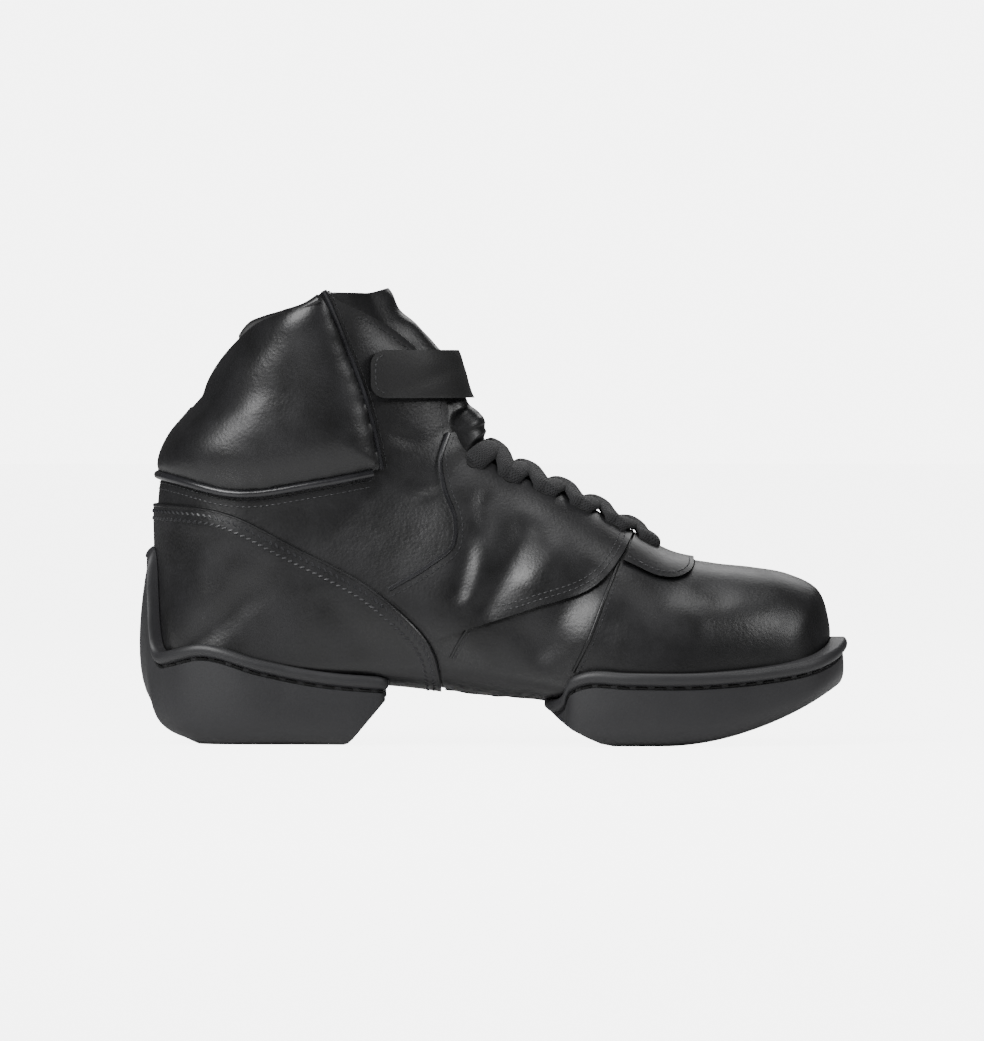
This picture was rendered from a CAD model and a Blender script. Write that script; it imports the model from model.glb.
import math

import bmesh
import bpy
import numpy as np
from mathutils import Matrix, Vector
from mathutils.bvhtree import BVHTree
from mathutils.kdtree import KDTree


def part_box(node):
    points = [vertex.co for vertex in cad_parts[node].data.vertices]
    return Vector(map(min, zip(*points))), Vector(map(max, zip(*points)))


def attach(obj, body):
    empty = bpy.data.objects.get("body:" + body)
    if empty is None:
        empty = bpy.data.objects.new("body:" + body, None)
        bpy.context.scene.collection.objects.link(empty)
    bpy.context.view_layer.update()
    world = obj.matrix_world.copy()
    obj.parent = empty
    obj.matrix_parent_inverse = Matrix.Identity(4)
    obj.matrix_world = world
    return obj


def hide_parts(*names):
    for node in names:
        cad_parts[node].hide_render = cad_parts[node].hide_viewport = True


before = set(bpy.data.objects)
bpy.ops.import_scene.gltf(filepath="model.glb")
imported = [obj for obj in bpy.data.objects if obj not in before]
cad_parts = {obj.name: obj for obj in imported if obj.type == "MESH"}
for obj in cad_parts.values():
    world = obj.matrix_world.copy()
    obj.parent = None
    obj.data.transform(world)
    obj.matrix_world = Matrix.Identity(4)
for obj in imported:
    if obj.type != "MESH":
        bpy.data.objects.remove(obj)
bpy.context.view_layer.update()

# A black high-top dance sneaker with a split sole, the right shoe, toe towards +X.
# Every piece is shaped on one surface, the last's, which the tables below describe.
# Sizes are in metres, and the shoe is made with its heel at x = 0, then moved to
# where its solids stand.

HEEL_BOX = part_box("outsole_heel")
TOE_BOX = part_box("outsole_forefoot")

# Driving sizes of the last
LENGTH = TOE_BOX[1].x - HEEL_BOX[0].x
BALL_WIDTH = 0.1065
HEEL_WIDTH = 0.084
ANKLE_WIDTH = 0.070
INSTEP_HEIGHT = 0.110
COLLAR_HEIGHT = 0.1742
BALL_BED = 0.0138
HEEL_BED = 0.0245
TOE_SPRING = 0.025

# Thicknesses and clearances
WALL = 0.0024
GAP = 0.0003
COUNTER_THICK = 0.0014
OVERLAY_THICK = 0.0012
PAD_CROWN = 0.0068
PAD_ROUND = 0.016
THROAT_WIDTH = 0.041
LASTING_MARGIN = 0.010
INSOLE_THICK = 0.0035
TONGUE_THICK = 0.0058
TONGUE_EDGE = 0.0030
TONGUE_PLAY = 0.0013
TONGUE_WIDTH = 0.064
TONGUE_TUCK = 0.010
STRAP_WIDTH = 0.0185
STRAP_THICK = 0.0020
STRAP_REST = 0.0014
STRAP_LEAN = 0.0028
LACE_WIDTH = 0.0092
LACE_THICK = 0.0034
EYELET_PAIRS = 6
EYELET_INSET = 0.0048
RIM_BAND = 0.0065
BEAD_PROUD = 0.0018
GROOVE_DEPTH = 0.0010
RIM_LAP = 0.006
TREAD_RECESS = 0.0009
STUD_PITCH = 0.0034
SAFE = 0.2
CUT_OVER = 0.006
CUT_UNDER = 0.009
UNDER_ALL = -0.05            # a height well below the shoe
THREAD = 0.0006
SEWN_EDGE = 0.0005           # the pad's height where it is drawn in at a seam
LACED_RISE = 0.0015          # the tongue comes up between the facings, under the laces

# Sections of the upper, toe to collar. front_x and back_x are shares of LENGTH.
# front_z is a share of INSTEP_HEIGHT up to 1, then runs on to COLLAR_HEIGHT at 2.
# back_z runs from BALL_BED at 0 to HEEL_BED at 1, then on to COLLAR_HEIGHT at 2,
# and spring adds a share of TOE_SPRING. foot and mid are half widths, as shares of
# the width named first, and medial is the inner side's share of the outer side's.
# widest and turn are shares of the section's length, square and round are the
# powers of its lower and upper curve, and gap is a share of THROAT_WIDTH.
SECTION_COLUMNS = ("name", "width", "front_x", "front_z", "back_x", "back_z", "spring",
                   "foot", "mid", "medial", "widest", "turn", "square", "round", "gap")
SECTIONS = (
    ("toe_feather", "ball", .969, .25, .8945, 0, .188, .33, .334, .93, .13, .12, 3, 2.2, 0),
    ("toe_low", "ball", .9745, .336, .884, 0, .16, .352, .357, .935, .14, .12, 3, 2.2, 0),
    ("toe_front", "ball", .974, .42, .873, 0, .136, .36, .366, .94, .16, .12, 3, 2.2, 0),
    ("toe_round", "ball", .958, .533, .862, 0, .108, .366, .38, .935, .2, .12, 3.1, 2.15, 0),
    ("toe_top", "ball", .916, .591, .847, 0, .088, .385, .402, .935, .24, .13, 3.2, 2.1, 0),
    ("vamp_front", "ball", .865, .615, .822, 0, .048, .413, .435, .93, .27, .13, 3.5, 2.1, 0),
    ("joint_front", "ball", .807, .63, .778, 0, .016, .445, .469, .9, .27, .13, 3.5, 2.1, 0),
    ("ball", "ball", .749, .66, .727, 0, 0, .465, .491, .87, .27, .13, 3.5, 2, 0),
    ("joint", "ball", .691, .745, .676, .02, 0, .465, .493, .83, .27, .13, 3.5, 2, .23),
    ("throat", "ball", .633, .83, .618, .14, 0, .44, .469, .83, .27, .13, 3.4, 2, .29),
    ("lower_lace", "ball", .582, .895, .553, .346, 0, .4, .437, .85, .28, .13, 3, 2.1, .33),
    ("waist", "ball", .538, .95, .48, .486, 0, .365, .415, .87, .3, .14, 2.7, 2.1, .37),
    ("arch", "ball", .507, 1, .407, .77, 0, .338, .402, .88, .32, .12, 2.8, 2.1, .415),
    ("upper_lace", "heel", .487, 1.07, .327, .96, 0, .42, .49, .9, .34, .1, 3.3, 2.1, .46),
    ("heel_front", "heel", .478, 1.13, .24, 1, 0, .415, .47, .925, .37, .08, 3.5, 2.05, .5),
    ("heel_seat", "heel", .4745, 1.187, .153, 1.003, 0, .41, .455, .94, .4, .075, 3.5, 2, .5),
    ("heel_back", "heel", .473, 1.234, .087, 1.013, 0, .39, .445, .95, .42, .08, 3.4, 2, .5),
    ("heel_curve", "heel", .47, 1.28, .047, 1.05, 0, .345, .437, .96, .43, .15, 2.8, 2, .5),
    ("counter_low", "heel", .4655, 1.327, .034, 1.124, 0, .393, .432, .97, .45, .25, 2.3, 2, .405),
    ("counter_mid", "heel", .459, 1.382, .0316, 1.224, 0, .393, .429, .97, .46, .28, 2.1, 2, .37),
    ("counter_high", "heel", .454, 1.428, .031, 1.344, 0, .387, .424, .97, .47, .3, 2.1, 2, .353),
    ("counter_top", "heel", .4495, 1.475, .03, 1.458, 0, .375, .419, .97, .48, .31, 2.1, 2, .366),
    ("pad_seam", "ankle", .4435, 1.53, .0375, 1.534, 0, .436, .5, .97, .49, .32, 2.1, 1.95, .38),
    ("pad_low", "ankle", .4345, 1.607, .064, 1.601, 0, .429, .497, .97, .49, .33, 2.1, 1.95, .415),
    ("ankle", "ankle", .416, 1.693, .099, 1.678, 0, .421, .497, .975, .5, .34, 2.1, 1.95, .42),
    ("pad_mid", "ankle", .391, 1.787, .124, 1.765, 0, .421, .503, .98, .5, .35, 2.1, 1.95, .455),
    ("pad_high", "ankle", .367, 1.888, .156, 1.858, 0, .421, .514, .98, .5, .36, 2.1, 1.95, .627),
    ("tongue_top", "ankle", .349, 2.012, .185, 1.975, 0, .421, .529, .98, .5, .36, 2.1, 1.95, .88),
    ("above", "ankle", .336, 2.168, .207, 2.045, 0, .421, .543, .98, .5, .36, 2.1, 1.95, .95),
)
ROW = {row[0]: index for index, row in enumerate(SECTIONS)}

# Side-view outlines, x as a share of LENGTH and z on the scale of front_z.
TOPLINE = ((-.10, 1.371), (.0935, 1.371), (.102, 1.464), (.132, 1.654), (.175, 1.810),
           (.218, 1.882), (.245, 1.935), (.266, 2.00))
FACING = ((.266, 2.00), (.285, 1.945), (.327, 1.857), (.356, 1.787), (.389, 1.675),
          (.417, 1.525), (.435, 1.358), (.440, 1.151))
COUNTER_EDGE = ((-.10, .832), (.028, .832), (.122, .807), (.220, .691), (.354, .498),
                (.417, .323), (.429, .173), (.430, .0))
PAD_SEAM = ((-.10, .945), (.031, .945), (.149, .882), (.250, .915), (.345, .960))
PAD_FRONT = ((.345, .960), (.335, 1.15), (.319, 1.40), (.293, 1.70), (.266, 2.00), (.257, 2.20))
EYESTAY_REAR = ((.437, 1.140), (.427, .991), (.434, .885), (.449, .779), (.445, .691),
                (.417, .632), (.357, .542))
EYESTAY_FOOT = ((.361, .505), (.400, .425), (.424, .352), (.440, .385), (.550, .475), (.656, .586),
                (.676, .645), (.701, .764))
EYESTAY_CORNER = (.4235, .366)
BIB_CORNER = (.708, .775)
BIB_EDGE = ((.6835, .647), (.698, .630), (.735, .591), (.760, .589), (.779, .614), (.784, .70))
STRAP_TAB = .331         # rear ends of the strap, share of LENGTH
STRAP_MIDDLE = 1.502     # middle of the strap, on the scale of front_z

# Puff of the tongue above (+) or below (-) the upper's surface, in the throat
TONGUE_PUFF = (
    ("ball", -.0012),
    ("arch", -.0006),
    ("upper_lace", .0004),
    ("heel_front", .0042),
    ("heel_back", .0040),
    ("heel_curve", .0018),
    ("counter_low", .0002),
    ("pad_low", .0003),
    ("pad_mid", .0003),
    ("tongue_top", .0003),
)

# Rim of each sole unit, from its rear middle at path share 0 to its front middle
# at 1: rim height on the scale of front_z, then the outset from the upper, the
# tread corner's inset, and the rim's rounding.
RIM_COLUMNS = ("path", "rim", "outset", "corner", "round")
HEEL_RIM = (
    (.00, .690, .0105, .0300, .0075),
    (.06, .684, .0102, .0290, .0070),
    (.12, .490, .0092, .0250, .0030),
    (.18, .322, .0082, .0200, .0006),
    (.24, .332, .0070, .0130, .0006),
    (.32, .352, .0060, .0090, .0006),
    (.50, .300, .0055, .0070, .0006),
    (.70, .251, .0050, .0060, .0006),
    (.75, .243, .0046, .0040, .0006),
    (.79, .238, .0042, .0020, .0006),
    (.84, .232, .0040, .0010, .0006),
    (1.0, .218, .0040, .0005, .0006),
)
FOREFOOT_RIM = (
    (.00, .165, .0040, .0020, .0006),
    (.17, .165, .0045, .0025, .0006),
    (.25, .165, .0050, .0030, .0006),
    (.275, .185, .0055, .0035, .0006),
    (.305, .239, .0060, .0045, .0006),
    (.34, .260, .0060, .0058, .0006),
    (.42, .257, .0060, .0070, .0006),
    (.62, .258, .0062, .0070, .0006),
    (.78, .285, .0066, .0065, .0006),
    (.90, .340, .0070, .0045, .0006),
    (.96, .366, .0072, .0020, .0006),
    (1.0, .370, .0072, .0012, .0006),
)

HEEL_SOLE_FRONT = .367       # shares of LENGTH
HEEL_SOLE_CENTRE = .175
FOREFOOT_REAR = .566
FOREFOOT_CENTRE = .735
ROCKER_START = .738          # tread starts to rise here
ROCKER_POWER = 1.93

INSIDE_FIRST = 0.3           # section where the hollow's toe end lies
THROAT_START = ROW["ball"] + 0.18
THROAT_ROUND = 0.7           # sections over which the throat's toe end widens
FOREFOOT_WINDOW = (ROW["toe_top"] + .3, ROW["throat"] + .5)
HEEL_WINDOW = (ROW["upper_lace"] + .2, ROW["heel_back"] - .2)
EYELETS_FROM = ROW["joint"] - .45
EYELETS_TO = ROW["upper_lace"] + .1

FINE_STEPS = 9               # spans of the surface between two sections
FINE_COLUMNS = 192
STATIONS = 240               # rays round a sole unit
LINE_STEPS = 8               # spans of a smooth outline between two of its points
CORNER_STEPS = 25            # places on each curve of a half section
SIDE_STEPS = 9


def front_height(share):
    """Height on the scale of front_z."""
    if share <= 1:
        return share * INSTEP_HEIGHT
    return INSTEP_HEIGHT + (share - 1) * (COLLAR_HEIGHT - INSTEP_HEIGHT)


def back_height(share):
    """Height on the scale of back_z."""
    if share <= 1:
        return BALL_BED + share * (HEEL_BED - BALL_BED)
    return HEEL_BED + (share - 1) * (COLLAR_HEIGHT - HEEL_BED)


def smooth(value):
    value = np.clip(value, 0.0, 1.0)
    return value * value * (3 - 2 * value)


def run_lengths(places):
    """How far along a row of places each of them is."""
    steps = np.linalg.norm(np.diff(places, axis=0), axis=1)
    return np.concatenate(([0.0], np.cumsum(steps)))


def catmull(table, at):
    """Value of a smooth curve through the rows of table, at row number at."""
    last = len(table) - 1
    low = min(max(int(math.floor(at)), 0), last - 1)
    f = at - low
    p0, p1, p2, p3 = (table[min(max(low + k, 0), last)] for k in (-1, 0, 1, 2))
    return 0.5 * (2 * p1 + (p2 - p0) * f + (2 * p0 - 5 * p1 + 4 * p2 - p3) * f * f
                  + (3 * p1 - p0 - 3 * p2 + p3) * f ** 3)


def smooth_points(points, steps):
    """A smooth curve through the rows of points, with steps spans between two of them."""
    table = np.array(points, float)
    spans = np.linalg.norm(np.diff(table, axis=0), axis=1)[:, None]
    slopes = np.diff(table, axis=0) / spans
    inner = (slopes[:-1] * spans[1:] + slopes[1:] * spans[:-1]) / (spans[:-1] + spans[1:])
    tangents = np.vstack((slopes[:1], inner, slopes[-1:]))
    line = [tuple(table[0])]
    for k, span in enumerate(spans[:, 0]):
        for step in range(1, steps + 1):
            f = step / steps
            line.append(tuple((2 * f ** 3 - 3 * f * f + 1) * table[k]
                              + (f ** 3 - 2 * f * f + f) * span * tangents[k]
                              + (3 * f * f - 2 * f ** 3) * table[k + 1]
                              + (f ** 3 - f * f) * span * tangents[k + 1]))
    return line


def in_metres(points):
    """Side-view points from shares of LENGTH and the scale of front_z."""
    return [(x * LENGTH, front_height(z)) for x, z in points]


def smooth_line(points, steps=LINE_STEPS):
    """A side-view outline's points in metres."""
    return smooth_points(in_metres(points), steps)


def section_table():
    """The sections in metres, one row of numbers each."""
    widths = {"ball": BALL_WIDTH, "heel": HEEL_WIDTH, "ankle": ANKLE_WIDTH}
    rows = []
    for entry in SECTIONS:
        r = dict(zip(SECTION_COLUMNS, entry))
        width = widths[r["width"]]
        rows.append((r["front_x"] * LENGTH, front_height(r["front_z"]), r["back_x"] * LENGTH,
                     back_height(r["back_z"]) + r["spring"] * TOE_SPRING,
                     r["foot"] * width, r["mid"] * width, r["medial"], r["widest"],
                     r["turn"], r["square"], r["round"], r["gap"] * THROAT_WIDTH))
    return np.array(rows)


def half_section(row, side):
    """One side of a section, from its back to its front: places and arc lengths."""
    front_x, front_z, back_x, back_z, foot, mid, medial, widest, turn, square, rounded, _ = row
    scale = medial if side > 0 else 1.0
    angle = np.linspace(0, math.pi / 2, CORNER_STEPS)
    low_t = turn * (1 - np.cos(angle) ** (2 / square))
    low_w = np.sin(angle) ** (2 / square)
    side_t = np.linspace(turn, widest, SIDE_STEPS)[1:-1]
    top_t = widest + (1 - widest) * np.sin(angle) ** (2 / rounded)
    top_w = np.cos(angle) ** (2 / rounded)
    t = np.concatenate((low_t, side_t, top_t))
    w = np.concatenate((low_w, np.ones(len(side_t)), top_w))
    y = w * (foot + (mid - foot) * smooth(t / widest)) * scale
    x = back_x + (front_x - back_x) * t
    z = back_z + (front_z - back_z) * t
    places = np.stack((x, side * y, z), axis=1)
    return places, run_lengths(places)


class Surface:
    """The upper's outer surface. u is the section's number, and v runs round it:
    0 at the back or bed middle, -1 and 1 both at the front middle, outer side < 0."""

    def __init__(self):
        table = section_table()
        self.last = len(table) - 1
        count = self.last * FINE_STEPS + 1
        self.rows = np.array([catmull(table, k / FINE_STEPS) for k in range(count)])
        half = FINE_COLUMNS // 2
        shares = np.arange(half + 1) / half
        self.place = np.zeros((count, FINE_COLUMNS, 3))
        self.half = np.zeros((count, 2))
        self.turn = np.zeros(count)
        for k, row in enumerate(self.rows):
            for which, side in enumerate((-1, 1)):
                places, arc = half_section(row, side)
                points = np.stack([np.interp(shares * arc[-1], arc, places[:, a])
                                   for a in range(3)], axis=1)
                columns = half + side * np.arange(half + 1)
                self.place[k, columns % FINE_COLUMNS] = points
                self.half[k, which] = arc[-1]
                self.turn[k] = arc[CORNER_STEPS - 1] / arc[-1]
        across = np.roll(self.place, -1, axis=1) - np.roll(self.place, 1, axis=1)
        along = np.gradient(self.place, axis=0)
        normal = np.cross(across, along)
        normal /= np.linalg.norm(normal, axis=2, keepdims=True) + 1e-12
        outward = self.place - self.place.mean(axis=1, keepdims=True)
        if (normal * outward).sum() < 0:
            normal = -normal
        self.normal = normal
        self.tree = KDTree(count * FINE_COLUMNS)
        for index, place in enumerate(self.place.reshape(-1, 3)):
            self.tree.insert(place, index)
        self.tree.balance()

    def at(self, u, v, lift=0.0):
        """Place on the surface, lifted along its normal."""
        place, normal = self.spot(u, v)
        return place + lift * normal

    def spot(self, u, v):
        """Place and normal on the surface."""
        a = min(max(u, 0.0), self.last) * FINE_STEPS
        i = min(int(a), len(self.rows) - 2)
        b = (v + 1) / 2 * FINE_COLUMNS
        j = int(math.floor(b))
        fa, fb = a - i, b - j
        j0, j1 = j % FINE_COLUMNS, (j + 1) % FINE_COLUMNS
        mix = ((1 - fa) * (1 - fb), (1 - fa) * fb, fa * (1 - fb), fa * fb)
        ends = ((i, j0), (i, j1), (i + 1, j0), (i + 1, j1))
        place = sum(m * self.place[e] for m, e in zip(mix, ends))
        normal = sum(m * self.normal[e] for m, e in zip(mix, ends))
        return place, normal / np.linalg.norm(normal)

    def value(self, u, data):
        return np.interp(u * FINE_STEPS, np.arange(len(data)), data)

    def gap(self, u):
        """Half width of the throat, rounded off at its toe end."""
        widths = self.rows[:, -1]
        ends = (ROW["joint"], ROW["throat"])
        opening = np.interp(u, ends, [self.value(end, widths) for end in ends])
        if u > ROW["throat"]:
            opening = self.value(u, widths)
        start = (u - THROAT_START) / THROAT_ROUND
        return float(opening) * math.sqrt(min(max(start, 0.0), 1.0))

    def from_front(self, u, arc):
        """v at a signed arc length from the front middle, outer side negative."""
        half = self.value(u, self.half[:, 0 if arc < 0 else 1])
        v = 1 - abs(arc) / half
        return v if arc >= 0 else -v

    def normals_near(self, places):
        """The surface's normal at the grid point nearest to each place."""
        flat = self.normal.reshape(-1, 3)
        return np.array([flat[self.tree.find(place)[1]] for place in places])


SURFACE = Surface()


def coordinates(piece):
    """The vertices of a piece as an array."""
    table = np.empty(len(piece.data.vertices) * 3)
    piece.data.vertices.foreach_get("co", table)
    return table.reshape(-1, 3)


def set_coordinates(piece, table):
    piece.data.vertices.foreach_set("co", table.ravel())
    piece.data.update()


def mesh_object(name, vertices, faces):
    """A closed mesh from points and faces, with its faces turned outwards."""
    mesh = bpy.data.meshes.new(name)
    mesh.from_pydata([tuple(map(float, p)) for p in vertices], [], faces)
    work = bmesh.new()
    work.from_mesh(mesh)
    bmesh.ops.recalc_face_normals(work, faces=work.faces)
    if work.calc_volume(signed=True) < 0:
        bmesh.ops.reverse_faces(work, faces=work.faces)
    work.to_mesh(mesh)
    work.free()
    made = bpy.data.objects.new(name, mesh)
    bpy.context.scene.collection.objects.link(made)
    return made


def tube_faces(base, rings, count):
    """Faces between closed rings of equal count, of which base is the first vertex."""
    return [(r + c, r + (c + 1) % count, r + count + (c + 1) % count, r + count + c)
            for r in range(base, base + (rings - 1) * count, count) for c in range(count)]


def rings_to_solid(name, rings, first_centre, last_centre):
    """A solid through closed rings of equal count, with a fan at each end."""
    count = len(rings[0])
    vertices = [p for ring in rings for p in ring] + [first_centre, last_centre]
    first, last = len(vertices) - 2, len(vertices) - 1
    faces = tube_faces(0, len(rings), count)
    top = (len(rings) - 1) * count
    for c in range(count):
        d = (c + 1) % count
        faces.append((first, d, c))
        faces.append((last, top + c, top + d))
    return mesh_object(name, vertices, faces)


def form(name, lift, first=0.0):
    """A solid inside the surface at a lift, which is a length or a function of places."""
    start = int(round(first * FINE_STEPS))
    places = SURFACE.place[start:]
    height = lift(places)[..., None] if callable(lift) else lift
    rings = places + height * SURFACE.normal[start:]
    return rings_to_solid(name, list(rings), rings[0].mean(axis=0), rings[-1].mean(axis=0))


def patch(name, us, vs_of, outer, inner):
    """A solid slab on part of the surface, between two lifts that are functions of u, v."""
    rows = [[(u, v) for v in vs_of(u)] for u in us]
    high, wide = len(rows), len(rows[0])
    vertices = [SURFACE.at(u, v, outer(u, v)) for row in rows for u, v in row]
    vertices += [SURFACE.at(u, v, inner(u, v)) for row in rows for u, v in row]
    under = high * wide
    faces = []
    for i in range(high - 1):
        for j in range(wide - 1):
            a, b = i * wide + j, i * wide + j + 1
            c, d = (i + 1) * wide + j + 1, (i + 1) * wide + j
            faces.append((a, b, c, d))
            faces.append((under + d, under + c, under + b, under + a))
    edge = [j for j in range(wide)]
    edge += [i * wide + wide - 1 for i in range(1, high)]
    edge += [(high - 1) * wide + j for j in range(wide - 2, -1, -1)]
    edge += [i * wide for i in range(high - 2, 0, -1)]
    for a, b in zip(edge, edge[1:] + edge[:1]):
        faces.append((b, a, under + a, under + b))
    return mesh_object(name, vertices, faces)


def prism(name, outline, low_y=-SAFE, high_y=SAFE):
    """A side-view outline in metres, extruded across the shoe."""
    count = len(outline)
    vertices = [(x, y, z) for y in (low_y, high_y) for x, z in outline]
    faces = [tuple(range(count)), tuple(range(2 * count - 1, count - 1, -1))]
    for a in range(count):
        b = (a + 1) % count
        faces.append((b, a, count + a, count + b))
    return mesh_object(name, vertices, faces)


def combine(target, tool, operation):
    """Cuts, joins or crosses two solids, and keeps the first."""
    step = target.modifiers.new("combine", "BOOLEAN")
    step.operation = operation
    step.object = tool
    step.solver = "MANIFOLD"
    bpy.context.view_layer.objects.active = target
    bpy.ops.object.modifier_apply(modifier=step.name)
    bpy.data.objects.remove(tool)
    return target


def cut(target, tool):
    return combine(target, tool, "DIFFERENCE")


def cross(target, tool):
    return combine(target, tool, "INTERSECT")


def line_distance(places, line):
    """Side-view distance of places from an open outline, and how far along it they are."""
    points = places[..., ::2]
    best = np.full(points.shape[:-1], 1.0)
    along = np.zeros(points.shape[:-1])
    done = 0.0
    for a, b in zip(np.array(line[:-1]), np.array(line[1:])):
        span = np.linalg.norm(b - a)
        share = np.clip(((points - a) @ (b - a)) / span ** 2, 0, 1)
        apart = np.linalg.norm(points - a - share[..., None] * (b - a), axis=-1)
        closer = apart < best
        best = np.where(closer, apart, best)
        along = np.where(closer, done + share * span, along)
        done += span
    return best, along, done


def mm(*points):
    """Side-view points measured on the shoe in millimetres, as metres."""
    return [(x / 1000, z / 1000) for x, z in points]


# Soft folds of the leather, in side view: the line in millimetres, its depth or
# height, and its width.
CREASES = (
    (((136, 100), (133, 84), (128, 68), (124, 53)), -.0011, .0042),
    (((131, 92), (132, 78), (131, 64), (128, 50)), .0008, .0036),
    (((153, 88), (146, 72), (138, 58), (132, 48)), -.0013, .0052),
    (((167, 80), (157, 68), (150, 57)), .0007, .0050),
    (((178, 70), (168, 56), (158, 40), (152, 30)), -.0012, .0058),
    (((184, 62), (177, 48), (171, 34)), .0008, .0048),
    (((143, 46), (156, 39), (167, 36)), -.0010, .0060),
    (((122, 44), (131, 36), (141, 31)), .0007, .0050),
    (((103, 100), (110, 98), (118, 98)), -.0007, .0018),
    (((104, 97), (111, 95), (118, 96)), .0004, .0014),
    (((96, 122), (103, 118), (112, 116)), -.0006, .0030),
    (((16, 86), (30, 84), (45, 79), (58, 71)), .0006, .0048),
    (((24, 66), (40, 60), (56, 56)), -.0006, .0075),
    (((70, 60), (82, 46), (92, 34)), -.0005, .0060),
    (((213, 62), (222, 60), (230, 52)), -.0006, .0050),
    (((205, 56), (214, 50), (219, 40)), .0004, .0048),
)
PAD_CREASES = (
    (((22, 128), (30, 130), (40, 136)), -.0007, .0046),
    (((38, 148), (48, 132), (50, 114)), .0005, .0090),
    (((86, 158), (78, 140), (80, 120)), -.0004, .0080),
    (((60, 160), (66, 146), (64, 126)), -.0003, .0070),
)
WAVES = (
    ((71, 130, 43), .4, .00006),
    ((-118, 62, 88), 1.9, .00005),
    ((96, -140, 131), 3.1, .00004),
    ((210, 90, -160), 5.2, .00003),
    ((-60, 45, 150), 2.6, .00006),
)
FLAT_MIDDLE = .004           # half width of the unfolded strip along the shoe's middle
FLAT_EASE = .012
FOLD_END = .009              # a fold grows over this length from its ends,
FOLD_START = .15             # from this share of its height
SHANK_FOLDS = ((640, 0.6, .00014), (985, 2.2, .00010), (1440, 4.0, .00006))


def folds(places, creases):
    """Height of the leather's folds and slow waves at some places of the surface."""
    lift = np.zeros(places.shape[:-1])
    sides = smooth((np.abs(places[..., 1]) - FLAT_MIDDLE) / FLAT_EASE)
    for points, height, width in creases:
        line = smooth_points(mm(*points), 4)
        apart, along, whole = line_distance(places, line)
        ends = smooth(np.minimum(along, whole - along) / FOLD_END + FOLD_START)
        lift += height * np.exp(-(apart / width) ** 2) * ends * sides
    for direction, start, height in WAVES:
        lift += height * np.sin(places @ np.array(direction, float) + start)
    return lift


def shank_folds(places):
    """Small cross wrinkles of the leather under the arch."""
    x, y, z = places[..., 0], places[..., 1], places[..., 2]
    where = smooth((x - .116) / .010) * smooth((.160 - x) / .010) * smooth((.030 - z) / .008)
    lift = np.zeros(x.shape)
    for waves, start, height in SHANK_FOLDS:
        lift += height * np.sin(waves * (x + 2.2 * y * y / .05) + start + 60 * y)
    return lift * where


def push(piece, creases=CREASES):
    """Presses the folds into a piece, along the surface's normals."""
    table = coordinates(piece)
    lift = folds(table, creases) + shank_folds(table)
    set_coordinates(piece, table + lift[:, None] * SURFACE.normals_near(table))
    return piece


def tree_of(piece):
    return BVHTree.FromObject(piece, bpy.context.evaluated_depsgraph_get())


def trace(line, side, tree, lift=0.0):
    """A side-view line laid on a piece from one side: places and normals."""
    found = []
    for x, z in line:
        hit, normal, _, _ = tree.ray_cast(Vector((x, side * SAFE, z)), Vector((0, -side, 0)))
        if hit is not None:
            found.append((np.array(hit + normal * lift), np.array(normal)))
    return found


HEEL_RADIUS = .05            # first guess of how far behind its axis the heel's back is


def trace_round(line, tree, lift=0.0, axis_x=.075, reach=128, steps=110):
    """A side-view line with one height for each x, laid round the heel of a piece."""
    xs = np.array([x for x, _ in line])
    zs = np.array([z for _, z in line])
    order = np.argsort(xs)
    found = []
    for turn in np.radians(np.linspace(-reach, reach, steps)):
        way = Vector((math.cos(turn), math.sin(turn), 0))
        x = axis_x - HEEL_RADIUS * math.cos(turn)
        spot = None
        for _ in range(4):
            z = float(np.interp(x, xs[order], zs[order]))
            start = Vector((axis_x, 0, z)) - way * SAFE
            hit, normal, _, _ = tree.ray_cast(start, way)
            if hit is None:
                break
            x = hit.x
            spot = (np.array(hit + normal * lift), np.array(normal))
        if spot is not None:
            found.append(spot)
    return found


def offset_line(line, distance):
    """A side-view line moved sideways, to the left of its direction where positive."""
    points = np.array(line)
    ways = np.gradient(points, axis=0)
    ways /= np.linalg.norm(ways, axis=1, keepdims=True)
    return [tuple(p) for p in points + distance * np.stack((-ways[:, 1], ways[:, 0]), axis=1)]


def as_tables(spots):
    """The places and the normals of a traced line."""
    return np.array([place for place, _ in spots]), np.array([normal for _, normal in spots])


def frames_along(spots):
    """Places, directions, sideways and upward vectors along a traced line."""
    places, normals = as_tables(spots)
    ways = np.gradient(places, axis=0)
    ways /= np.linalg.norm(ways, axis=1, keepdims=True) + 1e-12
    sideways = np.cross(ways, normals)
    sideways /= np.linalg.norm(sideways, axis=1, keepdims=True) + 1e-12
    return places, ways, sideways, np.cross(sideways, ways)


def welt(name, spots, width, height, sides=10):
    """A round or flat cord along a traced line, with its own map for a woven finish."""
    places, _, sideways, up = frames_along(spots)
    turns = [2 * math.pi * k / sides for k in range(sides)]
    rings = [[place + across * width / 2 * math.cos(turn) + rise * height / 2 * math.sin(turn)
              for turn in turns] for place, across, rise in zip(places, sideways, up)]
    cord = rings_to_solid(name, rings, places[0], places[-1])
    along = run_lengths(places)
    uv = cord.data.uv_layers.new(name="weave")
    for polygon in cord.data.polygons:
        corners = [(v // sides, v % sides) for v in polygon.vertices]
        wraps = max(c for _, c in corners) - min(c for _, c in corners) > sides / 2
        for loop, (r, c) in zip(polygon.loop_indices, corners):
            if r >= len(places):
                r, c = (0 if r == len(places) and c == 0 else len(places) - 1), 0
            column = c + sides if wraps and c < sides / 2 else c
            uv.data[loop].uv = (along[min(r, len(along) - 1)] / .01, column / sides)
    return cord


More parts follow.
